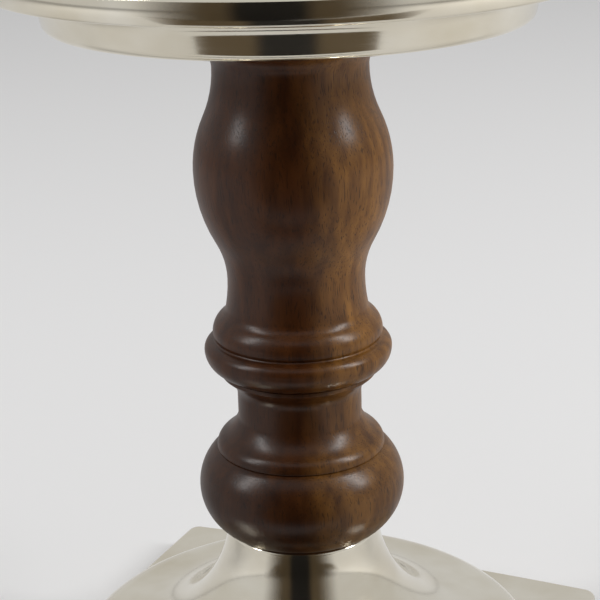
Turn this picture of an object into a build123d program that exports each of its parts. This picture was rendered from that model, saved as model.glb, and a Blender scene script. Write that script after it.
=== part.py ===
"""Pricket candle stand: a turned wooden stem clamped between a spun foot and a spun drip pan.

Millimetres, +Z up, origin at the middle of the felt's underside. The sides of the square foot lie along
X and Y. Outlines of turned and spun pieces are written as (radius, height) and turned about Z.
"""
import os
from math import asin, cos, degrees, radians, sin, sqrt, tan

from build123d import *

# Foot: pressed square plate, its sides gently bowed and its edge turned down, closed by a board and felt
foot_margin = 2.3
foot_bow = 1.8
foot_edge_height = 6.5
foot_corner_inner_radius = 1.8
foot_edge_inner_radius = 0.4
foot_sheet = 1.2
foot_lap = 4.0
board_thickness = 4.0
board_gap = 0.5
felt_thickness = 2.0
felt_inset = 0.6

# Bell: wall and round shoulder on the plate, then one long flare that leaves the shoulder level
bell_radius = 55.2
bell_height = 38.4
bell_neck_radius = 17.4
bell_wall_height = 3.1
bell_shoulder_radius = 6.8
bell_crown_radius = 1.0
bell_toe_radius = 0.5
bell_sheet = 1.2

# Ballast ring that stands on the board inside the bell
ballast_gap = 6.0
ballast_bore_radius = 20.0
ballast_height = 7.0
ballast_chamfer = 1.0

# Tie rod and the pieces that tighten it
rod_radius = 3.0
rod_chamfer = 0.5
rod_end_below_nut = 2.0
thread_clearance = 0.05
rod_hole_clearance = 0.25
neck_washer_thickness = 3.0
neck_washer_gap = 1.5
spring_washer_radius = 5.9
spring_washer_thickness = 1.6
spring_washer_slot = 1.0
nut_across_flats = 10.0
nut_height = 5.0
nut_chamfer = 0.8

# Leather washers at the two ends of the stem
leather_thickness = 1.0
leather_inset = 1.6

# Stem: radius and height of each turned member, from its lower end up
stem_bore_clearance = 0.5
bulb_foot_radius = 18.85
bulb_radius = 23.3
bulb_top_radius = 19.3
bulb_lower_height = 9.4
bulb_upper_height = 8.9
lower_bead_radius = 18.97
lower_bead_top_radius = 17.47
lower_bead_height = 2.76
waist_radius = 13.9
waist_foot_height = 4.6
waist_band_height = 5.14
waist_bend_radius = 15.0
waist_bend_height = 3.0
waist_flare_radius = 17.3
waist_flare_height = 2.0
ring_fillet_height = 0.8
ring_lip_radius = 17.75
ring_radius = 20.85
ring_top_radius = 18.6
ring_lower_height = 4.6
ring_upper_height = 2.3
bead_foot_radius = 18.45
bead_radius = 18.85
bead_top_radius = 17.0
bead_lower_height = 1.3
bead_upper_height = 3.75
neck_foot_radius = 15.7
neck_foot_height = 2.05
neck_radius = 15.1
neck_height = 6.3
vase_radius = 21.5
vase_lower_height = 24.6
vase_lower_turn = 0.36
vase_upper_height = 22.0
vase_upper_turn = 0.52
cove_radius = 16.6
lip_radius = 18.9
lip_flare_height = 4.3
lip_band_height = 2.7
groove_width = 0.4
groove_depth = 0.35

# Drip pan: spun from one sheet, with its edge rolled over a wire and pressed nearly flat outside
pan_base_radius = 51.1
pan_wall_lean = 11.0
pan_well_height = 8.0
pan_rim_radius = 62.85
pan_cove_radius = 4.0
pan_corner_inner_radius = 0.6
pan_sheet = 1.2
pan_seat_radius = 17.5
pan_seat_thickness = 1.8
roll_turn = 285.0
rim_face_radius = 9.0
rim_edge_radius = 0.8
wire_radius = 1.2
wire_clearance = 0.1

# Pricket: a collar on the pan's floor and the spike that screws down on it
collar_radius = 11.0
collar_edge_height = 1.0
collar_height = 3.5
spike_foot_radius = 5.6
spike_foot_height = 2.4
spike_root_radius = 4.6
spike_height = 30.0
spike_tip_radius = 0.6
spike_socket_depth = 7.5
spike_socket_gap = 1.0

# Radii that follow from the sizes above
rod_hole_radius = rod_radius + rod_hole_clearance
thread_hole_radius = rod_radius + thread_clearance
stem_bore_radius = rod_radius + stem_bore_clearance
foot_side = 2 * (bell_radius + foot_margin)
plate_opening_radius = bell_radius - bell_sheet - foot_lap
ballast_radius = plate_opening_radius - ballast_gap
roll_inner_radius = wire_radius + wire_clearance
roll_radius = roll_inner_radius + pan_sheet
roll_centre_radius = pan_rim_radius - roll_radius
stem_length = (
    bulb_lower_height + bulb_upper_height + lower_bead_height + waist_foot_height
    + waist_band_height + waist_bend_height + waist_flare_height + ring_fillet_height
    + ring_lower_height + ring_upper_height + bead_lower_height + bead_upper_height
    + neck_foot_height + neck_height + vase_lower_height + vase_upper_height
    + lip_flare_height + lip_band_height + 3 * groove_width
)

# Levels, stacked up from the table
board_level = felt_thickness
plate_under_level = board_level + board_thickness
plate_level = plate_under_level + foot_sheet
crown_level = plate_level + bell_height
stem_level = crown_level + leather_thickness
stem_top_level = stem_level + stem_length
seat_level = stem_top_level + leather_thickness
pan_level = seat_level + pan_seat_thickness
floor_level = pan_level + pan_sheet
spike_level = floor_level + collar_height

# Levels, hung down from the bell's crown
neck_washer_level = crown_level - bell_sheet - neck_washer_thickness
spring_washer_level = neck_washer_level - spring_washer_thickness
nut_level = spring_washer_level - nut_height


def turned(edges):
    """Solid turned about Z from a closed outline of (radius, height) edges."""
    return revolve(Plane.XZ * make_face(edges), Axis.Z, clean=False)


def swell(crest, end):
    """Arc that stands upright at its crest and runs to the end point, above or below it."""
    direction = (0, 1) if end[1] > crest[1] else (0, -1)
    return TangentArc(crest, end, tangent=direction)


def ogee(lower, upper, share):
    """Two arcs, upright at both ends, that change hands at a share of the way up."""
    turn = tuple(low + share * (high - low) for low, high in zip(lower, upper))
    return [swell(lower, turn), swell(upper, turn)]


def groove(below, above):
    """Scored line between two members."""
    bottom = min(below[0], above[0]) - groove_depth
    return Polyline(below, (bottom, (below[1] + above[1]) / 2), above)


def disc(radius, bore_radius, thickness, level):
    """Flat round washer."""
    blank = Circle(radius) - Circle(bore_radius)
    return Pos(0, 0, level) * extrude(blank, thickness)


def foot_slab(inset, corner_radius, height):
    """Slab with the foot's outline, moved inwards by the inset, standing on the XY plane."""
    half = foot_side / 2 - inset
    side = ThreePointArc((-half, half), (0, half + foot_bow), (half, half))
    outline = make_face([Rot(0, 0, 90 * turn) * side for turn in range(4)])
    return extrude(fillet(outline.vertices(), corner_radius), height)


def soften_top(slab, radius):
    """Round the upper edges of a slab."""
    return fillet(slab.faces().sort_by(Axis.Z)[-1].edges(), radius)


def foot_plate():
    corner = foot_corner_inner_radius
    edge = foot_edge_inner_radius
    outside = soften_top(foot_slab(0, corner + foot_sheet, foot_edge_height), edge + foot_sheet)
    inside = soften_top(foot_slab(foot_sheet, corner, foot_edge_height - foot_sheet), edge)
    opening = extrude(Circle(plate_opening_radius), foot_edge_height)
    return Pos(0, 0, plate_level - foot_edge_height) * (outside - inside - opening)


def base_board():
    inset = foot_sheet + board_gap
    return Pos(0, 0, board_level) * foot_slab(inset, foot_corner_inner_radius, board_thickness)


def base_felt():
    return foot_slab(foot_sheet + board_gap + felt_inset, foot_corner_inner_radius, felt_thickness)


def bell_shape(inset):
    """Upright outline of the bell, from its wall to its neck, moved inwards by the inset."""
    shoulder = (bell_radius - bell_shoulder_radius, bell_wall_height)
    crest = shoulder[1] + bell_shoulder_radius
    neck = (bell_neck_radius, bell_height - bell_crown_radius)
    reach = shoulder[0] - neck[0]
    rise = neck[1] - crest
    flare_radius = (reach ** 2 + rise ** 2) / (2 * rise)
    top = neck[1] if inset == 0 else bell_height - inset
    top_radius = shoulder[0] - sqrt((flare_radius + inset) ** 2 - (crest + flare_radius - top) ** 2)
    rounding = CenterArc(shoulder, bell_shoulder_radius - inset, 0, 90)
    flare = TangentArc((shoulder[0], crest - inset), (top_radius, top), tangent=(-1, 0))
    return rounding, flare, (top_radius, top)


def foot_bell():
    rounding, flare, neck = bell_shape(0)
    crown_edge = neck[0] - bell_crown_radius
    toe = bell_radius + bell_toe_radius
    outside = turned([
        CenterArc((toe, bell_toe_radius), bell_toe_radius, 180, 90),
        Line((bell_radius, bell_toe_radius), (bell_radius, bell_wall_height)),
        rounding,
        flare,
        CenterArc((crown_edge, neck[1]), bell_crown_radius, 0, 90),
        Polyline((crown_edge, bell_height), (0, bell_height), (0, 0), (toe, 0)),
    ])
    rounding, flare, neck = bell_shape(bell_sheet)
    wall = bell_radius - bell_sheet
    inside = turned([
        Line((wall, 0), (wall, bell_wall_height)),
        rounding,
        flare,
        Polyline(neck, (0, neck[1]), (0, 0), (wall, 0)),
    ])
    rod_hole = extrude(Circle(rod_hole_radius), bell_height)
    return Pos(0, 0, plate_level) * (outside - inside - rod_hole)


def ballast_ring():
    ring = disc(ballast_radius, ballast_bore_radius, ballast_height, plate_under_level)
    return chamfer(ring.faces().sort_by(Axis.Z)[-1].edges(), ballast_chamfer)


def neck_washer():
    radius = bell_neck_radius - bell_sheet - neck_washer_gap
    return disc(radius, rod_hole_radius, neck_washer_thickness, neck_washer_level)


def spring_washer():
    ring = disc(spring_washer_radius, thread_hole_radius, spring_washer_thickness, spring_washer_level)
    slot = Box(spring_washer_radius, spring_washer_slot, spring_washer_thickness,
               align=(Align.MIN, Align.CENTER, Align.MIN))
    return ring - Pos(0, 0, spring_washer_level) * slot


def base_nut():
    corner_radius = nut_across_flats / sqrt(3)
    blank = extrude(RegularPolygon(corner_radius, 6) - Circle(thread_hole_radius), nut_height)
    corner_cut = turned([Polyline(
        (0, 0), (corner_radius - nut_chamfer, 0), (corner_radius, nut_chamfer / 2),
        (corner_radius, nut_height), (0, nut_height), (0, 0),
    )])
    return Pos(0, 0, nut_level) * (blank & corner_cut)


def tie_rod():
    foot = nut_level - rod_end_below_nut
    top = spike_level + spike_socket_depth - spike_socket_gap
    rod = Pos(0, 0, foot) * extrude(Circle(rod_radius), top - foot)
    return chamfer(rod.edges().filter_by(GeomType.CIRCLE), rod_chamfer)


def lower_washer():
    radius = bell_neck_radius - bell_crown_radius
    return disc(radius, rod_hole_radius, leather_thickness, crown_level)


def wood_stem():
    bulb = (bulb_radius, bulb_lower_height)
    bulb_top = (bulb_top_radius, bulb[1] + bulb_upper_height)
    lower_bead = (lower_bead_radius, bulb_top[1] + groove_width)
    lower_bead_top = (lower_bead_top_radius, lower_bead[1] + lower_bead_height)
    waist = (waist_radius, lower_bead_top[1] + waist_foot_height)
    waist_top = (waist_radius, waist[1] + waist_band_height)
    waist_bend = (waist_bend_radius, waist_top[1] + waist_bend_height)
    flare_top = (waist_flare_radius, waist_bend[1] + waist_flare_height)
    fillet_top = (waist_flare_radius, flare_top[1] + ring_fillet_height)
    ring_lip = (ring_lip_radius, fillet_top[1] + groove_width)
    ring = (ring_radius, ring_lip[1] + ring_lower_height)
    ring_top = (ring_top_radius, ring[1] + ring_upper_height)
    bead_foot = (bead_foot_radius, ring_top[1] + groove_width)
    bead = (bead_radius, bead_foot[1] + bead_lower_height)
    bead_top = (bead_top_radius, bead[1] + bead_upper_height)
    neck_foot = (neck_foot_radius, bead_top[1] + neck_foot_height)
    neck = (neck_radius, neck_foot[1] + neck_height)
    vase = (vase_radius, neck[1] + vase_lower_height)
    cove = (cove_radius, vase[1] + vase_upper_height)
    lip = (lip_radius, cove[1] + lip_flare_height)
    lip_top = (lip_radius, lip[1] + lip_band_height)
    lower_bead_side = swell(lower_bead, lower_bead_top)
    bead_side = swell(bead, bead_top)
    edges = [
        swell(bulb, (bulb_foot_radius, 0)),
        swell(bulb, bulb_top),
        groove(bulb_top, lower_bead),
        lower_bead_side,
        TangentArc(lower_bead_top, waist, tangent=lower_bead_side % 1),
        Line(waist, waist_top),
        swell(waist_top, waist_bend),
        Polyline(waist_bend, flare_top, fillet_top),
        groove(fillet_top, ring_lip),
        swell(ring, ring_lip),
        swell(ring, ring_top),
        groove(ring_top, bead_foot),
        swell(bead, bead_foot),
        bead_side,
        TangentArc(bead_top, neck_foot, tangent=bead_side % 1),
        swell(neck, neck_foot),
        *ogee(neck, vase, vase_lower_turn),
        *ogee(vase, cove, vase_upper_turn),
        swell(cove, lip),
        Polyline(lip, lip_top, (stem_bore_radius, lip_top[1]), (stem_bore_radius, 0), (bulb_foot_radius, 0)),
    ]
    return Pos(0, 0, stem_level) * turned(edges)


def upper_washer():
    return disc(pan_seat_radius - leather_inset, rod_hole_radius, leather_thickness, stem_top_level)


def pan_seat():
    return disc(pan_seat_radius, rod_hole_radius, pan_seat_thickness, seat_level)


def curl(centre, radius):
    """Three equal arcs that carry the pan's edge out, up and in round the wire."""
    step = roll_turn / 3
    return [CenterArc(centre, radius, -90 + turn * step, step) for turn in range(3)]


def pressed_curl(centre):
    """Outside of the rolled edge: a nearly flat face between two small roundings, then the curl inwards."""
    brow = roll_radius - rim_edge_radius
    span = rim_face_radius - rim_edge_radius
    slope = degrees(asin(brow / span))
    face = (pan_rim_radius - rim_face_radius, centre[1])
    edge = face[0] + sqrt(span ** 2 - brow ** 2)
    top = centre[1] + roll_radius
    return [
        Line((centre[0], centre[1] - roll_radius), (edge, centre[1] - roll_radius)),
        CenterArc((edge, centre[1] - brow), rim_edge_radius, -90, 90 - slope),
        CenterArc(face, rim_face_radius, -slope, 2 * slope),
        CenterArc((edge, centre[1] + brow), rim_edge_radius, slope, 90 - slope),
        Line((edge, top), (centre[0], top)),
        CenterArc(centre, roll_radius, 90, roll_turn - 180),
    ]


def drip_pan():
    corner_radius = pan_corner_inner_radius + pan_sheet
    lean = radians(pan_wall_lean)
    bends = pan_cove_radius + corner_radius
    climb = pan_well_height - bends + bends * sin(lean)
    corner = (pan_base_radius - corner_radius, corner_radius)
    cove = (corner[0] + bends * cos(lean) + climb * tan(lean), pan_well_height - pan_cove_radius)
    roll = (roll_centre_radius, pan_well_height + roll_radius)
    sweep = 90 - pan_wall_lean
    outer_corner = CenterArc(corner, corner_radius, -90, sweep)
    inner_corner = CenterArc(corner, pan_corner_inner_radius, -90, sweep)
    outer_cove = CenterArc(cove, pan_cove_radius, 90, sweep)
    inner_cove = CenterArc(cove, pan_cove_radius + pan_sheet, 90, sweep)
    outer_roll = pressed_curl(roll)
    inner_roll = curl(roll, roll_inner_radius)
    flange_top = pan_well_height + pan_sheet
    edges = [
        Line((rod_hole_radius, 0), (corner[0], 0)),
        outer_corner,
        Line(outer_corner @ 1, outer_cove @ 1),
        outer_cove,
        Line((cove[0], pan_well_height), (roll[0], pan_well_height)),
        *outer_roll,
        Line(outer_roll[-1] @ 1, inner_roll[-1] @ 1),
        *inner_roll,
        Line((roll[0], flange_top), (cove[0], flange_top)),
        inner_cove,
        Line(inner_cove @ 1, inner_corner @ 1),
        inner_corner,
        Polyline((corner[0], pan_sheet), (rod_hole_radius, pan_sheet), (rod_hole_radius, 0)),
    ]
    return Pos(0, 0, pan_level) * turned(edges)


def rim_wire():
    return Pos(0, 0, pan_level + pan_well_height + roll_radius) * Torus(roll_centre_radius, wire_radius)


def pricket_collar():
    edges = [
        Polyline((rod_hole_radius, 0), (collar_radius, 0), (collar_radius, collar_edge_height)),
        TangentArc((spike_foot_radius, collar_height), (collar_radius, collar_edge_height), tangent=(1, -1)),
        Polyline((spike_foot_radius, collar_height), (rod_hole_radius, collar_height), (rod_hole_radius, 0)),
    ]
    return Pos(0, 0, floor_level) * turned(edges)


def pricket_spike():
    tip = spike_height - spike_tip_radius
    edges = [
        Polyline((0, 0), (spike_foot_radius, 0), (spike_foot_radius, spike_foot_height),
                 (spike_root_radius, spike_foot_height), (spike_tip_radius, tip)),
        CenterArc((0, tip), spike_tip_radius, 0, 90),
        Line((0, spike_height), (0, 0)),
    ]
    socket = extrude(Circle(thread_hole_radius), spike_socket_depth)
    return Pos(0, 0, spike_level) * (turned(edges) - socket)


nodes = {
    "base_felt": base_felt,
    "base_board": base_board,
    "foot_plate": foot_plate,
    "foot_bell": foot_bell,
    "ballast_ring": ballast_ring,
    "neck_washer": neck_washer,
    "spring_washer": spring_washer,
    "base_nut": base_nut,
    "tie_rod": tie_rod,
    "lower_washer": lower_washer,
    "wood_stem": wood_stem,
    "upper_washer": upper_washer,
    "pan_seat": pan_seat,
    "drip_pan": drip_pan,
    "rim_wire": rim_wire,
    "pricket_collar": pricket_collar,
    "pricket_spike": pricket_spike,
}

os.makedirs("parts", exist_ok=True)
for name, make in nodes.items():
    export_step(make(), f"parts/{name}.step")
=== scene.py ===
"""Looks of the pricket candle stand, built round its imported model.

Outlines are written as (radius, height) in millimetres, as on a turner's drawing; Blender works in metres.
"""

from math import asin, atan2, ceil, copysign, cos, degrees, hypot, pi, radians, sin, sqrt, tan

import bmesh
import bpy
from mathutils import Euler, Matrix, Vector


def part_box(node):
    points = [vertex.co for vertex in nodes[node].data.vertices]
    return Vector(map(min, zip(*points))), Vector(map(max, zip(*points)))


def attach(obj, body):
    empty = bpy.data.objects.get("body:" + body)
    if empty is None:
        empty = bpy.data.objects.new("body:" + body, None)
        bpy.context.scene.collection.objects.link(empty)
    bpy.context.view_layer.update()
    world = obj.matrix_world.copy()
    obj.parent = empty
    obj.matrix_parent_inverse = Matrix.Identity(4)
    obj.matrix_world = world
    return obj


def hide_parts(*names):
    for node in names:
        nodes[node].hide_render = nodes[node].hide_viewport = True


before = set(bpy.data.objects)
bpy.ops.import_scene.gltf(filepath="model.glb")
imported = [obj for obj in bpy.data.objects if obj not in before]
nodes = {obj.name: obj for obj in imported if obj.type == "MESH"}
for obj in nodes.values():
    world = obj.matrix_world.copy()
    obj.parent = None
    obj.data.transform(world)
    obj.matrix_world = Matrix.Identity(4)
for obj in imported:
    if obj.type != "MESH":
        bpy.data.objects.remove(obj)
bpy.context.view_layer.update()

MM = 0.001

# Turning: how fine the arcs are cut, how many steps go round, and how far a turner eases the arrises
ARC_STEP = 5.0
TURN_STEPS = 192
WOOD_EASE = 0.2
METAL_EASE = 0.15

# Angles in degrees from which an edge counts as an arris, and from which shading breaks at it
ARRIS_ANGLE = 35
SHADING_ANGLE = 28

# Stem members, from the lower end up
BULB_FOOT_RADIUS = 18.85
BULB_RADIUS = 23.3
BULB_TOP_RADIUS = 19.3
BULB_LOWER_HEIGHT = 9.4
BULB_UPPER_HEIGHT = 8.9
LOWER_BEAD_RADIUS = 18.97
LOWER_BEAD_TOP_RADIUS = 17.47
LOWER_BEAD_HEIGHT = 2.76
WAIST_RADIUS = 13.9
WAIST_FOOT_HEIGHT = 4.6
WAIST_BAND_HEIGHT = 5.14
WAIST_BEND_RADIUS = 15.0
WAIST_BEND_HEIGHT = 3.0
WAIST_FLARE_RADIUS = 17.3
WAIST_FLARE_HEIGHT = 2.0
RING_FILLET_HEIGHT = 0.8
RING_LIP_RADIUS = 17.75
RING_RADIUS = 20.85
RING_TOP_RADIUS = 18.6
RING_LOWER_HEIGHT = 4.6
RING_UPPER_HEIGHT = 2.3
BEAD_FOOT_RADIUS = 18.45
BEAD_RADIUS = 18.85
BEAD_TOP_RADIUS = 17.0
BEAD_LOWER_HEIGHT = 1.3
BEAD_UPPER_HEIGHT = 3.75
NECK_FOOT_RADIUS = 15.7
NECK_FOOT_HEIGHT = 2.05
NECK_RADIUS = 15.1
NECK_HEIGHT = 6.3
VASE_RADIUS = 21.5
VASE_LOWER_HEIGHT = 24.6
VASE_LOWER_TURN = 0.36
VASE_UPPER_HEIGHT = 22.0
VASE_UPPER_TURN = 0.52
COVE_RADIUS = 16.6
LIP_RADIUS = 18.9
LIP_FLARE_HEIGHT = 4.3
LIP_BAND_HEIGHT = 2.7
STEM_BORE_RADIUS = 3.5

# Scored lines between the stem's members, and the lacquer that fills the one above the ring: how far
# it reaches over the ring, and the heading in degrees in which it leaves the ring
GROOVE_WIDTH = 0.4
GROOVE_DEPTH = 0.35
LACQUER_POOL = 0.4
LACQUER_POOL_HEADING = 170

# Bell on the foot
BELL_RADIUS = 55.2
BELL_HEIGHT = 38.4
BELL_NECK_RADIUS = 17.4
BELL_WALL_HEIGHT = 3.1
BELL_SHOULDER_RADIUS = 6.8
BELL_CROWN_RADIUS = 1.0
BELL_TOE_RADIUS = 0.5

# Drip pan
PAN_BASE_RADIUS = 51.1
PAN_WALL_LEAN = 11.0
PAN_WELL_HEIGHT = 8.0
PAN_RIM_RADIUS = 62.85
PAN_COVE_RADIUS = 4.0
PAN_CORNER_INNER_RADIUS = 0.6
ROLL_INNER_RADIUS = 1.3
ROLL_TURN = 285.0
RIM_FACE_RADIUS = 9.0
RIM_EDGE_RADIUS = 0.8

# Sheet metal, and the rod's holes
SHEET = 1.2
ROD_HOLE_RADIUS = 3.25
THREAD_HOLE_RADIUS = 3.05

# Pricket: collar and spike
COLLAR_RADIUS = 11.0
COLLAR_EDGE_HEIGHT = 1.0
COLLAR_HEIGHT = 3.5
SPIKE_FOOT_RADIUS = 5.6
SPIKE_FOOT_HEIGHT = 2.4
SPIKE_ROOT_RADIUS = 4.6
SPIKE_HEIGHT = 30.0
SPIKE_TIP_RADIUS = 0.6
SPIKE_SOCKET_DEPTH = 7.5

# Leather washers: how far the squeezed edge bulges
LEATHER_BULGE = 0.3

# Square foot: half its side at the corners, how far the sides bow out, and its roundings
FOOT_HALF = 57.5
FOOT_BOW = 1.8
FOOT_CORNER_RADIUS = 3.0
FOOT_EDGE_RADIUS = 1.6
FOOT_SIDE_STEPS = 24
PLATE_OPENING_RADIUS = 50.0
FELT_HALF = 55.2
FELT_CORNER_RADIUS = 1.8
FELT_EDGE_RADIUS = 0.5

# Dark cards on the camera's side: near and far edge, low and high edge, half their spread in degrees at
# the two edges, the share of the spread at which they start to fade out, and their turn to the right
CARDS = {
    "low_card": (110, 110, 1, 42, 50, 50, 0.3, -6),
    "floor_card": (220, 450, 1, 1, 38, 52, 0.5, -1),
    "upright_card": (450, 450, 1, 500, 50, 50, 0.3, -6),
}

# Floor's side in metres, and how strongly the pale room lights the stand
FLOOR_SIZE = 8.0
ROOM_STRENGTH = 0.45

# Soft boxes at the stem's sides: azimuth from the camera's side in degrees, and power of each; then their
# common elevation, and in metres their distance, width, height and the point they are aimed at
SOFT_BOXES = {"box_left": (-76, 9), "box_right": (76, 15)}
BOX_ELEVATION = radians(36)
BOX_DISTANCE = 1.6
BOX_WIDTH = 0.28
BOX_HEIGHT = 0.9
BOX_AIM = Vector((0, 0, 0.1))

# Side where the wood is paler, seen from the stem's axis: partly sapwood, partly painted light for the flank
# that the brighter soft box lights
SAPWOOD_AND_LIT_SIDE = (0.92, 0.38, 0.0)

# Camera, fitted to the photograph's turned rings and foot corners
CAMERA_DISTANCE = 333.0
CAMERA_HEIGHT = 213.4
CAMERA_AZIMUTH = radians(22.46)
CAMERA_TURN = radians(0.115)
CAMERA_PITCH = radians(18.96)
CAMERA_ROLL = radians(1.6)
CAMERA_LENS = 95.85


def level(node):
    """Height of a node's underside, in millimetres."""
    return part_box(node)[0].z / MM


def thickness(node):
    """Height of a node from its underside to its top, in millimetres."""
    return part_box(node)[1].z / MM - level(node)


def reach(node):
    """Radius of a round node, in millimetres."""
    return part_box(node)[1].x / MM


def arc(centre, radius, start, sweep):
    """Points along an arc of an outline, its angles in degrees from the outward direction."""
    count = max(2, ceil(abs(sweep) / ARC_STEP))
    turns = [radians(start + sweep * step / count) for step in range(count + 1)]
    return [(centre[0] + radius * cos(turn), centre[1] + radius * sin(turn)) for turn in turns]


def bend(start, heading, end):
    """Points along the arc that leaves its start in a heading, in degrees, and runs to its end."""
    run = end[0] - start[0]
    rise = end[1] - start[1]
    turn = (2 * (degrees(atan2(rise, run)) - heading) + 180) % 360 - 180
    radius = hypot(run, rise) / (2 * sin(radians(turn / 2)))
    centre = (start[0] - radius * sin(radians(heading)), start[1] + radius * cos(radians(heading)))
    return arc(centre, abs(radius), heading - copysign(90, radius), turn)


def swell(crest, end):
    """Points along the arc that stands upright at its crest and runs to the end point."""
    return bend(crest, copysign(90, end[1] - crest[1]), end)


def landing(crest, end):
    """Heading in which a swell reaches its end."""
    return 2 * degrees(atan2(end[1] - crest[1], end[0] - crest[0])) - copysign(90, end[1] - crest[1])


def ogee(lower, upper, share):
    """Two arcs, upright at both ends, that change hands at a share of the way up."""
    turn = tuple(low + share * (high - low) for low, high in zip(lower, upper))
    return swell(lower, turn) + swell(upper, turn)[::-1]


def groove(below, above):
    """Scored line between two members."""
    return [below, (min(below[0], above[0]) - GROOVE_DEPTH, (below[1] + above[1]) / 2), above]


def start_piece(add, **sizes):
    """A new primitive, alone in the selection and open for editing."""
    bpy.ops.object.select_all(action="DESELECT")
    add(**sizes)
    bpy.ops.object.mode_set(mode="EDIT")
    bpy.ops.mesh.select_mode(type="VERT")


def finish_piece(name, slot, *nodes):
    """Leaves edit mode, names the piece, and sets it in the frame in place of its nodes."""
    bpy.ops.object.mode_set(mode="OBJECT")
    piece = bpy.context.object
    piece.name = name
    piece.data.name = name
    bpy.ops.object.shade_smooth_by_angle(angle=radians(SHADING_ANGLE))
    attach(piece, "root")
    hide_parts(*nodes)
    return piece


def ease_arrises(width):
    """Takes the sharp edges off the piece that is open."""
    bpy.ops.mesh.select_all(action="DESELECT")
    bpy.ops.mesh.select_mode(type="EDGE")
    bpy.ops.mesh.edges_select_sharp(sharpness=radians(ARRIS_ANGLE))
    bpy.ops.mesh.bevel(offset=width * MM, segments=2, affect="EDGES", clamp_overlap=True)


def turn_outline(outline, base):
    """Draws the outline as a chain of vertices above the base height and spins it once round."""
    start_piece(bpy.ops.mesh.primitive_plane_add, size=MM)
    bpy.ops.mesh.merge(type="CENTER")
    here = (0.0, 0.0)
    first = True
    for radius, height in outline:
        there = (radius * MM, (base + height) * MM)
        move = (there[0] - here[0], 0.0, there[1] - here[1])
        if first:
            bpy.ops.transform.translate(value=move)
            first = False
        elif Vector(move).length > 1e-6:
            bpy.ops.mesh.extrude_vertices_move(TRANSFORM_OT_translate={"value": move})
        here = there
    bpy.ops.mesh.select_all(action="SELECT")
    bpy.ops.mesh.spin(steps=TURN_STEPS, angle=2 * pi, center=(0, 0, 0), axis=(0, 0, 1))
    bpy.ops.mesh.select_all(action="SELECT")
    bpy.ops.mesh.remove_doubles(threshold=1e-6)
    bpy.ops.mesh.normals_make_consistent(inside=False)


def stem_outline():
    bulb = (BULB_RADIUS, BULB_LOWER_HEIGHT)
    bulb_top = (BULB_TOP_RADIUS, bulb[1] + BULB_UPPER_HEIGHT)
    lower_bead = (LOWER_BEAD_RADIUS, bulb_top[1] + GROOVE_WIDTH)
    lower_bead_top = (LOWER_BEAD_TOP_RADIUS, lower_bead[1] + LOWER_BEAD_HEIGHT)
    waist = (WAIST_RADIUS, lower_bead_top[1] + WAIST_FOOT_HEIGHT)
    waist_top = (WAIST_RADIUS, waist[1] + WAIST_BAND_HEIGHT)
    waist_bend = (WAIST_BEND_RADIUS, waist_top[1] + WAIST_BEND_HEIGHT)
    flare_top = (WAIST_FLARE_RADIUS, waist_bend[1] + WAIST_FLARE_HEIGHT)
    fillet_top = (WAIST_FLARE_RADIUS, flare_top[1] + RING_FILLET_HEIGHT)
    ring_lip = (RING_LIP_RADIUS, fillet_top[1] + GROOVE_WIDTH)
    ring = (RING_RADIUS, ring_lip[1] + RING_LOWER_HEIGHT)
    ring_top = (RING_TOP_RADIUS, ring[1] + RING_UPPER_HEIGHT)
    bead_foot = (BEAD_FOOT_RADIUS, ring_top[1] + GROOVE_WIDTH)
    bead = (BEAD_RADIUS, bead_foot[1] + BEAD_LOWER_HEIGHT)
    pool = (RING_TOP_RADIUS + LACQUER_POOL, ring_top[1])
    bead_top = (BEAD_TOP_RADIUS, bead[1] + BEAD_UPPER_HEIGHT)
    neck_foot = (NECK_FOOT_RADIUS, bead_top[1] + NECK_FOOT_HEIGHT)
    neck = (NECK_RADIUS, neck_foot[1] + NECK_HEIGHT)
    vase = (VASE_RADIUS, neck[1] + VASE_LOWER_HEIGHT)
    cove = (COVE_RADIUS, vase[1] + VASE_UPPER_HEIGHT)
    lip = (LIP_RADIUS, cove[1] + LIP_FLARE_HEIGHT)
    lip_top = (LIP_RADIUS, lip[1] + LIP_BAND_HEIGHT)
    return [
        (STEM_BORE_RADIUS, 0),
        *swell(bulb, (BULB_FOOT_RADIUS, 0))[::-1],
        *swell(bulb, bulb_top),
        *groove(bulb_top, lower_bead),
        *swell(lower_bead, lower_bead_top),
        *bend(lower_bead_top, landing(lower_bead, lower_bead_top), waist),
        *swell(waist_top, waist_bend),
        flare_top,
        *groove(fillet_top, ring_lip),
        *swell(ring, ring_lip)[::-1],
        *[point for point in swell(ring, ring_top) if point[0] > pool[0]],
        *bend(pool, LACQUER_POOL_HEADING, bead_foot),
        *swell(bead, bead_foot)[::-1],
        *swell(bead, bead_top),
        *bend(bead_top, landing(bead, bead_top), neck_foot),
        *swell(neck, neck_foot)[::-1],
        *ogee(neck, vase, VASE_LOWER_TURN),
        *ogee(vase, cove, VASE_UPPER_TURN),
        *swell(cove, lip),
        lip_top,
        (STEM_BORE_RADIUS, lip_top[1]),
        (STEM_BORE_RADIUS, 0),
    ]


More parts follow.
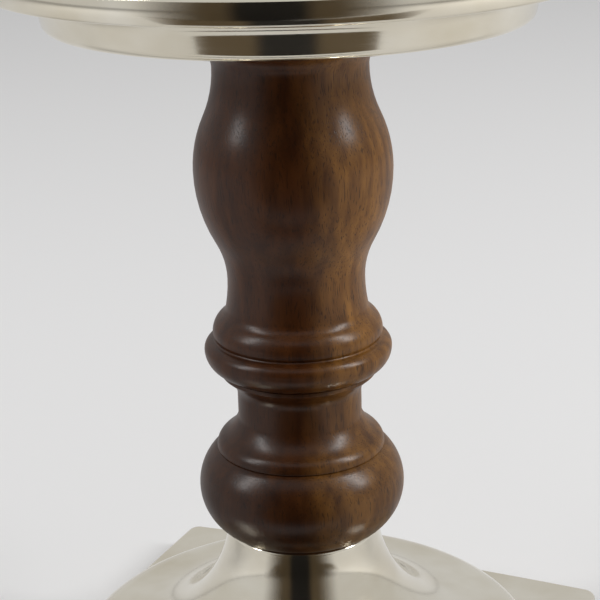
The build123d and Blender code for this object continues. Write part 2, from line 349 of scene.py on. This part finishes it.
def bell_outline():
    """Outside of the bell and, a sheet's thickness in, its inside."""
    shoulder = (BELL_RADIUS - BELL_SHOULDER_RADIUS, BELL_WALL_HEIGHT)
    crest = shoulder[1] + BELL_SHOULDER_RADIUS
    neck = (BELL_NECK_RADIUS, BELL_HEIGHT - BELL_CROWN_RADIUS)
    run = shoulder[0] - neck[0]
    rise = neck[1] - crest
    flare_radius = (run ** 2 + rise ** 2) / (2 * rise)
    flare = (shoulder[0], crest + flare_radius)

    def side(inset, top):
        across = sqrt((flare_radius + inset) ** 2 - (flare[1] - top) ** 2)
        sweep = degrees(atan2(across, flare[1] - top))
        return (arc(shoulder, BELL_SHOULDER_RADIUS - inset, 0, 90)
                + arc(flare, flare_radius + inset, -90, -sweep))

    toe = (BELL_RADIUS + BELL_TOE_RADIUS, BELL_TOE_RADIUS)
    crown = (BELL_NECK_RADIUS - BELL_CROWN_RADIUS, neck[1])
    return [
        (BELL_RADIUS - SHEET, 0),
        (toe[0], 0),
        *arc(toe, BELL_TOE_RADIUS, 270, -90),
        *side(0, neck[1]),
        *arc(crown, BELL_CROWN_RADIUS, 0, 90),
        (ROD_HOLE_RADIUS, BELL_HEIGHT),
        (ROD_HOLE_RADIUS, BELL_HEIGHT - SHEET),
        *side(SHEET, BELL_HEIGHT - SHEET)[::-1],
        (BELL_RADIUS - SHEET, 0),
    ]


def pan_outline():
    roll_radius = ROLL_INNER_RADIUS + SHEET
    corner_radius = PAN_CORNER_INNER_RADIUS + SHEET
    lean = radians(PAN_WALL_LEAN)
    bends = PAN_COVE_RADIUS + corner_radius
    corner = (PAN_BASE_RADIUS - corner_radius, corner_radius)
    climb = PAN_WELL_HEIGHT - bends + bends * sin(lean)
    cove = (corner[0] + bends * cos(lean) + climb * tan(lean), PAN_WELL_HEIGHT - PAN_COVE_RADIUS)
    roll = (PAN_RIM_RADIUS - roll_radius, PAN_WELL_HEIGHT + roll_radius)
    brow = roll_radius - RIM_EDGE_RADIUS
    span = RIM_FACE_RADIUS - RIM_EDGE_RADIUS
    slope = degrees(asin(brow / span))
    face = (PAN_RIM_RADIUS - RIM_FACE_RADIUS, roll[1])
    edge = face[0] + sqrt(span ** 2 - brow ** 2)
    return [
        (ROD_HOLE_RADIUS, 0),
        *arc(corner, corner_radius, -90, 90 - PAN_WALL_LEAN),
        *arc(cove, PAN_COVE_RADIUS, 180 - PAN_WALL_LEAN, PAN_WALL_LEAN - 90),
        *arc((edge, roll[1] - brow), RIM_EDGE_RADIUS, -90, 90 - slope),
        *arc(face, RIM_FACE_RADIUS, -slope, 2 * slope),
        *arc((edge, roll[1] + brow), RIM_EDGE_RADIUS, slope, 90 - slope),
        *arc(roll, roll_radius, 90, ROLL_TURN - 180),
        *arc(roll, ROLL_INNER_RADIUS, ROLL_TURN - 90, -ROLL_TURN),
        *arc(cove, PAN_COVE_RADIUS + SHEET, 90, 90 - PAN_WALL_LEAN),
        *arc(corner, PAN_CORNER_INNER_RADIUS, -PAN_WALL_LEAN, PAN_WALL_LEAN - 90),
        (ROD_HOLE_RADIUS, SHEET),
        (ROD_HOLE_RADIUS, 0),
    ]


def collar_outline():
    """Collar with a hollow top that leaves the spike's foot at 45 degrees."""
    width = COLLAR_RADIUS - SPIKE_FOOT_RADIUS
    drop = COLLAR_HEIGHT - COLLAR_EDGE_HEIGHT
    radius = (width ** 2 + drop ** 2) / (sqrt(2) * (width - drop))
    centre = (SPIKE_FOOT_RADIUS + radius / sqrt(2), COLLAR_HEIGHT + radius / sqrt(2))
    finish = degrees(atan2(COLLAR_EDGE_HEIGHT - centre[1], COLLAR_RADIUS - centre[0]))
    return [
        (ROD_HOLE_RADIUS, 0),
        (COLLAR_RADIUS, 0),
        *arc(centre, radius, finish, -135 - finish),
        (ROD_HOLE_RADIUS, COLLAR_HEIGHT),
        (ROD_HOLE_RADIUS, 0),
    ]


def spike_outline():
    """Spike from the inside of its socket, round its foot, up to the tip."""
    tip = SPIKE_HEIGHT - SPIKE_TIP_RADIUS
    return [
        (0, SPIKE_SOCKET_DEPTH),
        (THREAD_HOLE_RADIUS, SPIKE_SOCKET_DEPTH),
        (THREAD_HOLE_RADIUS, 0),
        (SPIKE_FOOT_RADIUS, 0),
        (SPIKE_FOOT_RADIUS, SPIKE_FOOT_HEIGHT),
        (SPIKE_ROOT_RADIUS, SPIKE_FOOT_HEIGHT),
        *arc((0, tip), SPIKE_TIP_RADIUS, 0, 90),
    ]


def washer_outline(radius, height):
    """Leather washer whose edge bulges where it is squeezed."""
    half = height / 2
    bulge_radius = (half ** 2 + LEATHER_BULGE ** 2) / (2 * LEATHER_BULGE)
    slope = degrees(asin(half / bulge_radius))
    return [
        (ROD_HOLE_RADIUS, 0),
        *arc((radius - bulge_radius, half), bulge_radius, -slope, 2 * slope),
        (ROD_HOLE_RADIUS, height),
        (ROD_HOLE_RADIUS, 0),
    ]


def foot_slab(half, corner_radius, base, height):
    """Opens a slab with the foot's outline: a circle pushed out to bowed sides, its corners rounded."""
    start_piece(bpy.ops.mesh.primitive_circle_add, vertices=4 * FOOT_SIDE_STEPS, radius=half * MM,
                location=(0, 0, base * MM))
    bpy.ops.object.mode_set(mode="OBJECT")
    bpy.ops.object.transform_apply(location=True)
    bpy.ops.object.mode_set(mode="EDIT")
    mesh = bmesh.from_edit_mesh(bpy.context.object.data)
    for vertex in mesh.verts:
        side = round(atan2(vertex.co.y, vertex.co.x) / (pi / 2)) * pi / 2
        across = -vertex.co.x * sin(side) + vertex.co.y * cos(side)
        along = across / (vertex.co.x * cos(side) + vertex.co.y * sin(side))
        out = half + FOOT_BOW * (1 - along ** 2)
        vertex.co.x = (out * cos(side) - half * along * sin(side)) * MM
        vertex.co.y = (out * sin(side) + half * along * cos(side)) * MM
        vertex.select_set(abs(abs(along) - 1) < 1e-4)
    mesh.select_flush(False)
    bmesh.update_edit_mesh(bpy.context.object.data)
    bow_slope = 2 * FOOT_BOW / half
    bpy.ops.mesh.bevel(offset=corner_radius * MM / (1 + bow_slope), segments=8, affect="VERTICES")
    bpy.ops.mesh.select_all(action="SELECT")
    bpy.ops.mesh.edge_face_add()
    bpy.ops.mesh.extrude_region_move(TRANSFORM_OT_translate={"value": (0, 0, height * MM)})
    bpy.ops.mesh.select_all(action="SELECT")
    bpy.ops.mesh.normals_make_consistent(inside=False)


def select_flat(facing):
    """Selects the flat faces of the open piece that face straight up or straight down."""
    bpy.ops.mesh.select_mode(type="FACE")
    mesh = bmesh.from_edit_mesh(bpy.context.object.data)
    for face in mesh.faces:
        face.select_set(face.normal.z * facing > 0.999)
    bmesh.update_edit_mesh(bpy.context.object.data)


def apply_modifier(kind, **settings):
    """Puts a modifier on the active piece and applies it."""
    modifier = bpy.context.object.modifiers.new(kind.lower(), kind)
    for name, value in settings.items():
        setattr(modifier, name, value)
    bpy.ops.object.modifier_apply(modifier=modifier.name)


def pressed_plate():
    """Square plate with its edge turned down, open under the bell."""
    base = level("foot_plate")
    height = thickness("foot_plate")
    foot_slab(FOOT_HALF, FOOT_CORNER_RADIUS, base, height)
    select_flat(1)
    bpy.ops.mesh.bevel(offset=FOOT_EDGE_RADIUS * MM, segments=8, affect="EDGES")
    select_flat(-1)
    bpy.ops.mesh.delete(type="FACE")
    bpy.ops.object.mode_set(mode="OBJECT")
    plate = bpy.context.object
    apply_modifier("SOLIDIFY", thickness=SHEET * MM, offset=-1, use_even_offset=True)
    bpy.ops.object.select_all(action="DESELECT")
    bpy.ops.mesh.primitive_cylinder_add(vertices=TURN_STEPS, radius=PLATE_OPENING_RADIUS * MM,
                                        depth=2 * height * MM, location=(0, 0, (base + height) * MM))
    cutter = bpy.context.object
    bpy.ops.object.select_all(action="DESELECT")
    plate.select_set(True)
    bpy.context.view_layer.objects.active = plate
    apply_modifier("BOOLEAN", operation="DIFFERENCE", solver="EXACT", object=cutter)
    bpy.data.objects.remove(cutter)
    plate = finish_piece("pressed_plate", "plated_metal", "foot_plate")
    apply_modifier("WEIGHTED_NORMAL", keep_sharp=True)
    return plate


def felt_sheet():
    """Sheet of felt glued under the board, its cut edge a little rounded."""
    height = thickness("base_felt")
    foot_slab(FELT_HALF, FELT_CORNER_RADIUS, level("base_felt"), height)
    select_flat(-1)
    bpy.ops.mesh.bevel(offset=FELT_EDGE_RADIUS * MM, segments=4, affect="EDGES")
    felt = finish_piece("felt_sheet", "felt", "base_felt")
    apply_modifier("WEIGHTED_NORMAL", keep_sharp=True)
    return felt


turn_outline(stem_outline(), level("wood_stem"))
ease_arrises(WOOD_EASE)
stem = finish_piece("turned_stem", "wood", "wood_stem")
turn_outline(bell_outline(), level("foot_bell"))
bell = finish_piece("spun_bell", "plated_metal", "foot_bell")
turn_outline(pan_outline(), level("drip_pan"))
pan = finish_piece("spun_pan", "plated_metal", "drip_pan")
turn_outline(collar_outline(), level("pricket_collar"))
ease_arrises(METAL_EASE)
collar = finish_piece("turned_collar", "plated_metal", "pricket_collar")
turn_outline(spike_outline(), level("pricket_spike"))
ease_arrises(METAL_EASE)
spike = finish_piece("turned_spike", "plated_metal", "pricket_spike")
washers = []
for washer in ("lower_washer", "upper_washer"):
    turn_outline(washer_outline(reach(washer), thickness(washer)), level(washer))
    washers.append(finish_piece("leather_" + washer, "leather", washer))
plate = pressed_plate()
felt = felt_sheet()


def linear(colour):
    """Linear colour, with full alpha, of an sRGB hex value."""
    parts = [int(colour[at:at + 2], 16) / 255 for at in (1, 3, 5)]
    return (*[part / 12.92 if part <= 0.04045 else ((part + 0.055) / 1.055) ** 2.4 for part in parts], 1.0)


def add(tree, kind, inputs, **settings):
    """Adds a node with its settings; an input that is a socket is linked, any other is a value."""
    node = tree.nodes.new(kind)
    for name, value in settings.items():
        setattr(node, name, value)
    for socket, value in inputs.items():
        if isinstance(value, bpy.types.NodeSocket):
            tree.links.new(value, node.inputs[socket])
        else:
            node.inputs[socket].default_value = value
    return node


def start_material(name, **values):
    """A material with its shader's plain values, its node tree and the surface's place on the object."""
    material = bpy.data.materials.new(name)
    material.use_nodes = True
    tree = material.node_tree
    shader = tree.nodes["Principled BSDF"]
    for socket, value in values.items():
        shader.inputs[socket.replace("_", " ")].default_value = value
    place = add(tree, "ShaderNodeTexCoord", {}).outputs["Object"]
    return material, tree, shader, place


def per_mm(*sizes):
    """Pattern scale for cells of these sizes in millimetres."""
    return tuple(1 / (size * MM) for size in sizes)


def dress(material, *pieces):
    for piece in pieces:
        piece.data.materials.clear()
        piece.data.materials.append(material)


def lacquered_hardwood():
    """Hardwood, dyed dark brown, under satin lacquer.

    The eye sees soft streaks along the stem, small dark pores, a paler flank and a soft gloss. The paler
    flank is partly sapwood and partly painted light for the flank that the brighter soft box lights. The
    colour also darkens towards the foot as painted shade, dimming the lower stem that the pan leaves open to
    the soft boxes.
    """
    material, tree, shader, place = start_material(
        "lacquered_hardwood", Specular_IOR_Level=0, Coat_Weight=0.55, Coat_Roughness=0.28)
    wander = add(tree, "ShaderNodeTexNoise", {"Vector": place, "Scale": per_mm(11)[0], "Detail": 1})
    bent = add(tree, "ShaderNodeVectorMath",
               {0: wander.outputs["Color"], 1: (2 * MM, 2 * MM, 0), 2: place}, operation="MULTIPLY_ADD")
    streak_place = add(tree, "ShaderNodeMapping", {"Vector": bent.outputs[0], "Scale": per_mm(2.4, 2.4, 15)})
    streaks = add(tree, "ShaderNodeTexNoise", {"Vector": streak_place.outputs[0], "Scale": 1, "Detail": 4})
    pore_place = add(tree, "ShaderNodeMapping", {"Vector": bent.outputs[0], "Scale": per_mm(0.3, 0.3, 3)})
    pores = add(tree, "ShaderNodeTexNoise", {"Vector": pore_place.outputs[0], "Scale": 1, "Detail": 1})
    pore = add(tree, "ShaderNodeMapRange", {"Value": pores.outputs[0], "From Min": 0.56, "From Max": 0.7},
               interpolation_type="SMOOTHSTEP")
    # Paler wood on one flank: partly sapwood, partly painted light for the flank that the brighter soft box
    # lights
    side = add(tree, "ShaderNodeVectorMath", {0: bent.outputs[0], 1: SAPWOOD_AND_LIT_SIDE}, operation="DOT_PRODUCT")
    figure_place = add(tree, "ShaderNodeMapping", {"Vector": place, "Scale": per_mm(8, 8, 26)})
    figure = add(tree, "ShaderNodeTexNoise", {"Vector": figure_place.outputs[0], "Scale": 1, "Detail": 2})
    drift = add(tree, "ShaderNodeMath", {0: figure.outputs[0], 1: 14 * MM, 2: side.outputs["Value"]},
                operation="MULTIPLY_ADD")
    pale = add(tree, "ShaderNodeMapRange",
               {"Value": drift.outputs[0], "From Min": 7 * MM, "From Max": 20 * MM},
               interpolation_type="SMOOTHSTEP")
    light = add(tree, "ShaderNodeMapRange",
                {"Value": streaks.outputs[0], "From Min": 0.25, "From Max": 0.75})
    heart = add(tree, "ShaderNodeMix", {0: light.outputs[0], 6: linear("#311707"), 7: linear("#4d2a10")},
                data_type="RGBA")
    sapwood_and_lit = add(tree, "ShaderNodeMix", {0: light.outputs[0], 6: linear("#523010"), 7: linear("#8f622b")},
              data_type="RGBA")
    brown = add(tree, "ShaderNodeMix", {0: pale.outputs[0], 6: heart.outputs[2], 7: sapwood_and_lit.outputs[2]},
                data_type="RGBA")
    dark = add(tree, "ShaderNodeMath", {0: pore.outputs[0], 1: 0.6}, operation="MULTIPLY")
    pored = add(tree, "ShaderNodeMix", {0: dark.outputs[0], 6: brown.outputs[2], 7: linear("#1d1008")},
                data_type="RGBA")
    # Painted shade: the colour darkens towards the foot, dimming the lower stem that the pan leaves open to
    # the soft boxes
    height = add(tree, "ShaderNodeSeparateXYZ", {0: place})
    painted_foot_shade = add(tree, "ShaderNodeMapRange", {"Value": height.outputs["Z"], "From Min": 50 * MM,
                                             "From Max": 110 * MM, "To Min": 0.6, "To Max": 1})
    foot_shaded_colour = add(tree, "ShaderNodeVectorMath", {0: pored.outputs[2], "Scale": painted_foot_shade.outputs[0]},
                  operation="SCALE")
    tree.links.new(foot_shaded_colour.outputs[0], shader.inputs["Base Color"])
    rough = add(tree, "ShaderNodeMapRange", {"Value": streaks.outputs[0], "To Min": 0.35, "To Max": 0.6})
    tree.links.new(rough.outputs[0], shader.inputs["Roughness"])
    dents = add(tree, "ShaderNodeBump", {"Height": pore.outputs[0], "Strength": 0.2, "Distance": 0.05 * MM},
                invert=True)
    tree.links.new(dents.outputs[0], shader.inputs["Normal"])
    tree.links.new(dents.outputs[0], shader.inputs["Coat Normal"])
    return material


def silver_plate(name, spun):
    """Silver plate on brass, polished: a warm grey mirror with faint tarnish and fine polishing lines.

    The lines run round a spun piece and along a flat one, and are drawn coarser than the real ones, to show.
    """
    material, tree, shader, place = start_material(name, Metallic=1)
    tarnish_place = add(tree, "ShaderNodeMapping", {"Vector": place, "Scale": per_mm(22, 22, 14)})
    tarnish = add(tree, "ShaderNodeTexNoise", {"Vector": tarnish_place.outputs[0], "Scale": 1, "Detail": 3})
    tone = add(tree, "ShaderNodeMapRange", {"Value": tarnish.outputs[0], "From Min": 0.35, "From Max": 0.7})
    silver = add(tree, "ShaderNodeMix", {0: tone.outputs[0], 6: linear("#e0dbce"), 7: linear("#cfc7b4")},
                 data_type="RGBA")
    tree.links.new(silver.outputs[2], shader.inputs["Base Color"])
    if spun:
        flat = add(tree, "ShaderNodeVectorMath", {0: place, 1: (1, 1, 0)}, operation="MULTIPLY")
        radius = add(tree, "ShaderNodeVectorMath", {0: flat.outputs[0]}, operation="LENGTH")
        height = add(tree, "ShaderNodeSeparateXYZ", {0: place})
        turned = add(tree, "ShaderNodeCombineXYZ", {0: radius.outputs["Value"], 2: height.outputs["Z"]})
        lines_place = add(tree, "ShaderNodeMapping",
                          {"Vector": turned.outputs[0], "Scale": per_mm(0.35, 1, 0.35)})
    else:
        lines_place = add(tree, "ShaderNodeMapping", {"Vector": place, "Scale": per_mm(0.35, 9, 0.35)})
    lines = add(tree, "ShaderNodeTexNoise", {"Vector": lines_place.outputs[0], "Scale": 1, "Detail": 2})
    rough = add(tree, "ShaderNodeMapRange", {"Value": lines.outputs[0], "To Min": 0.06, "To Max": 0.16})
    tree.links.new(rough.outputs[0], shader.inputs["Roughness"])
    grooves = add(tree, "ShaderNodeBump",
                  {"Height": lines.outputs[0], "Strength": 0.04, "Distance": 0.02 * MM})
    tree.links.new(grooves.outputs[0], shader.inputs["Normal"])
    return material


def zinc_plated_steel():
    """Zinc-plated steel: bluish grey, satin, with faint patches of the plating."""
    material, tree, shader, place = start_material("zinc_plated_steel", Metallic=1)
    patch_place = add(tree, "ShaderNodeMapping", {"Vector": place, "Scale": per_mm(1.2, 1.2, 1.2)})
    patches = add(tree, "ShaderNodeTexVoronoi", {"Vector": patch_place.outputs[0], "Scale": 1})
    patch = patches.outputs["Distance"]
    zinc = add(tree, "ShaderNodeMix", {0: patch, 6: linear("#c3c6c9"), 7: linear("#a7abb0")},
               data_type="RGBA")
    tree.links.new(zinc.outputs[2], shader.inputs["Base Color"])
    rough = add(tree, "ShaderNodeMapRange", {"Value": patch, "To Min": 0.28, "To Max": 0.45})
    tree.links.new(rough.outputs[0], shader.inputs["Roughness"])
    return material


def sand_cast_iron():
    """Iron as it leaves the sand: dark grey, dull and grainy."""
    material, tree, shader, place = start_material("sand_cast_iron", Metallic=0.7, Roughness=0.7)
    grain_place = add(tree, "ShaderNodeMapping", {"Vector": place, "Scale": per_mm(0.8, 0.8, 0.8)})
    grain = add(tree, "ShaderNodeTexNoise", {"Vector": grain_place.outputs[0], "Scale": 1, "Detail": 4})
    iron = add(tree, "ShaderNodeMix", {0: grain.outputs[0], 6: linear("#2c2b2a"), 7: linear("#5a5755")},
               data_type="RGBA")
    tree.links.new(iron.outputs[2], shader.inputs["Base Color"])
    bumps = add(tree, "ShaderNodeBump", {"Height": grain.outputs[0], "Strength": 0.6, "Distance": 0.3 * MM})
    tree.links.new(bumps.outputs[0], shader.inputs["Normal"])
    return material


def hard_fibreboard():
    """Pressed wood fibre: mid brown, matt, with matted fibres and pale specks."""
    material, tree, shader, place = start_material("hard_fibreboard", Roughness=0.75)
    fibre_place = add(tree, "ShaderNodeMapping", {"Vector": place, "Scale": per_mm(0.4, 1.6, 0.25)})
    fibres = add(tree, "ShaderNodeTexNoise",
                 {"Vector": fibre_place.outputs[0], "Scale": 1, "Detail": 4, "Distortion": 1.5})
    board = add(tree, "ShaderNodeMix", {0: fibres.outputs[0], 6: linear("#4e331e"), 7: linear("#8a6440")},
                data_type="RGBA")
    tree.links.new(board.outputs[2], shader.inputs["Base Color"])
    bumps = add(tree, "ShaderNodeBump", {"Height": fibres.outputs[0], "Strength": 0.3, "Distance": 0.1 * MM})
    tree.links.new(bumps.outputs[0], shader.inputs["Normal"])
    return material


def tanned_leather():
    """Vegetable-tanned leather, cut across: dark brown with a fine pebbled grain."""
    material, tree, shader, place = start_material("tanned_leather", Roughness=0.6)
    pebble_place = add(tree, "ShaderNodeMapping", {"Vector": place, "Scale": per_mm(0.4, 0.4, 0.3)})
    pebbles = add(tree, "ShaderNodeTexVoronoi", {"Vector": pebble_place.outputs[0], "Scale": 1})
    pebble = pebbles.outputs["Distance"]
    hide = add(tree, "ShaderNodeMix", {0: pebble, 6: linear("#3b2415"), 7: linear("#20120a")},
               data_type="RGBA")
    tree.links.new(hide.outputs[2], shader.inputs["Base Color"])
    bumps = add(tree, "ShaderNodeBump", {"Height": pebble, "Strength": 0.5, "Distance": 0.1 * MM},
                invert=True)
    tree.links.new(bumps.outputs[0], shader.inputs["Normal"])
    return material


def wool_felt():
    """Pressed wool felt: deep green, with short matted fibres and a soft sheen at the edges."""
    material, tree, shader, place = start_material(
        "wool_felt", Roughness=0.95, Sheen_Weight=0.35, Sheen_Roughness=0.5)
    fibre_place = add(tree, "ShaderNodeMapping", {"Vector": place, "Scale": per_mm(0.5, 0.5, 0.5)})
    fibres = add(tree, "ShaderNodeTexNoise", {"Vector": fibre_place.outputs[0], "Scale": 1, "Detail": 5,
                                              "Roughness": 0.7, "Distortion": 2})
    wool = add(tree, "ShaderNodeMix", {0: fibres.outputs[0], 6: linear("#16261b"), 7: linear("#3a5a44")},
               data_type="RGBA")
    tree.links.new(wool.outputs[2], shader.inputs["Base Color"])
    bumps = add(tree, "ShaderNodeBump", {"Height": fibres.outputs[0], "Strength": 0.6, "Distance": 0.3 * MM})
    tree.links.new(bumps.outputs[0], shader.inputs["Normal"])
    return material


def matt_paper():
    """Matt paper of the floor: an even pale grey that keeps the stand's shadow."""
    return start_material("matt_paper", Roughness=0.9, Base_Color=linear("#ececed"))[0]


def dark_paper(name, spread, fade):
    """Matt paper of a dark card: black in the middle, brown at the flanks, and faded out to its ends."""
    material, tree, shader, place = start_material(name, Roughness=1)
    across = add(tree, "ShaderNodeSeparateXYZ", {0: place})
    ratio = add(tree, "ShaderNodeMath", {0: across.outputs["X"], 1: across.outputs["Y"]}, operation="DIVIDE")
    aside = add(tree, "ShaderNodeMath", {0: ratio.outputs[0]}, operation="ABSOLUTE").outputs[0]
    flank = add(tree, "ShaderNodeMapRange", {"Value": aside, "From Min": 0.16, "From Max": 0.3},
                interpolation_type="SMOOTHSTEP")
    tone = add(tree, "ShaderNodeMix", {0: flank.outputs[0], 6: linear("#15120f"), 7: linear("#60523d")},
               data_type="RGBA")
    tree.links.new(tone.outputs[2], shader.inputs["Base Color"])
    cover = add(tree, "ShaderNodeMapRange", {"Value": aside, "From Min": spread, "From Max": fade * spread},
                interpolation_type="SMOOTHSTEP")
    tree.links.new(cover.outputs[0], shader.inputs["Alpha"])
    return material


dress(lacquered_hardwood(), stem)
dress(silver_plate("spun_silver_plate", True), bell, pan, collar, spike)
dress(silver_plate("buffed_silver_plate", False), plate)
dress(tanned_leather(), *washers)
dress(wool_felt(), felt)
dress(hard_fibreboard(), nodes["base_board"])
dress(sand_cast_iron(), nodes["ballast_ring"])
dress(zinc_plated_steel(), *[nodes[name] for name in (
    "neck_washer", "spring_washer", "base_nut", "tie_rod", "pan_seat", "rim_wire")])

# Floor
bpy.ops.object.select_all(action="DESELECT")
bpy.ops.mesh.primitive_plane_add(size=FLOOR_SIZE)
floor = bpy.context.object
floor.name = "floor"
dress(matt_paper(), floor)

# Dark cards that polished metal mirrors: they show only in reflections and, where upright, in bounced light
for name, (near, far, low, high, near_spread, far_spread, fade, turn) in CARDS.items():
    start_piece(bpy.ops.mesh.primitive_plane_add, size=2)
    card = bpy.context.object
    mesh = bmesh.from_edit_mesh(card.data)
    for vertex in mesh.verts:
        distance, height, spread = (near, low, near_spread) if vertex.co.y > 0 else (far, high, far_spread)
        vertex.co = Vector((vertex.co.x * distance * tan(radians(spread)), -distance, height)) * MM
    bmesh.update_edit_mesh(card.data)
    bpy.ops.object.mode_set(mode="OBJECT")
    card.name = name
    card.rotation_euler.z = CAMERA_AZIMUTH + radians(turn)
    card.visible_camera = False
    card.visible_shadow = False
    card.visible_diffuse = high > low
    dress(dark_paper(name + "_paper", tan(radians(far_spread)), fade), card)

# Pale room, which the metal shows as the camera sees it
world = bpy.data.worlds.new("studio")
bpy.context.scene.world = world
world.use_nodes = True
room = world.node_tree
fill = room.nodes["Background"]
fill.inputs["Color"].default_value = linear("#f8f7f5")
fill.inputs["Strength"].default_value = ROOM_STRENGTH
backdrop = add(room, "ShaderNodeBackground", {"Color": linear("#dadada"), "Strength": 1})
path = add(room, "ShaderNodeLightPath", {})
shown = add(room, "ShaderNodeMath", {0: path.outputs["Is Camera Ray"], 1: path.outputs["Is Glossy Ray"]},
            operation="MAXIMUM")
mixed = add(room, "ShaderNodeMixShader", {0: shown.outputs[0], 1: fill.outputs[0], 2: backdrop.outputs[0]})
room.links.new(mixed.outputs[0], room.nodes["World Output"].inputs["Surface"])

# Soft boxes, aimed at the stem's middle
for name, (azimuth, power) in SOFT_BOXES.items():
    box_data = bpy.data.lights.new(name, "AREA")
    box_data.energy = power
    box_data.shape = "RECTANGLE"
    box_data.size = BOX_WIDTH
    box_data.size_y = BOX_HEIGHT
    box = bpy.data.objects.new(name, box_data)
    bpy.context.scene.collection.objects.link(box)
    turn = CAMERA_AZIMUTH + radians(azimuth)
    arm = Vector((sin(turn) * cos(BOX_ELEVATION), -cos(turn) * cos(BOX_ELEVATION), sin(BOX_ELEVATION)))
    box.location = BOX_AIM + arm * BOX_DISTANCE
    box.rotation_euler = arm.to_track_quat("Z", "Y").to_euler()

# Camera
camera_data = bpy.data.cameras.new("camera")
camera = bpy.data.objects.new("camera", camera_data)
bpy.context.scene.collection.objects.link(camera)
camera_data.lens = CAMERA_LENS
camera_data.clip_start = 0.01
camera.location = (CAMERA_DISTANCE * MM * sin(CAMERA_AZIMUTH), -CAMERA_DISTANCE * MM * cos(CAMERA_AZIMUTH),
                   CAMERA_HEIGHT * MM)
aim = Euler((pi / 2 - CAMERA_PITCH, 0, CAMERA_AZIMUTH - CAMERA_TURN)).to_matrix()
camera.rotation_euler = (aim @ Matrix.Rotation(-CAMERA_ROLL, 3, "Z")).to_euler()
bpy.context.scene.camera = camera
bpy.context.scene.view_settings.view_transform = "Standard"
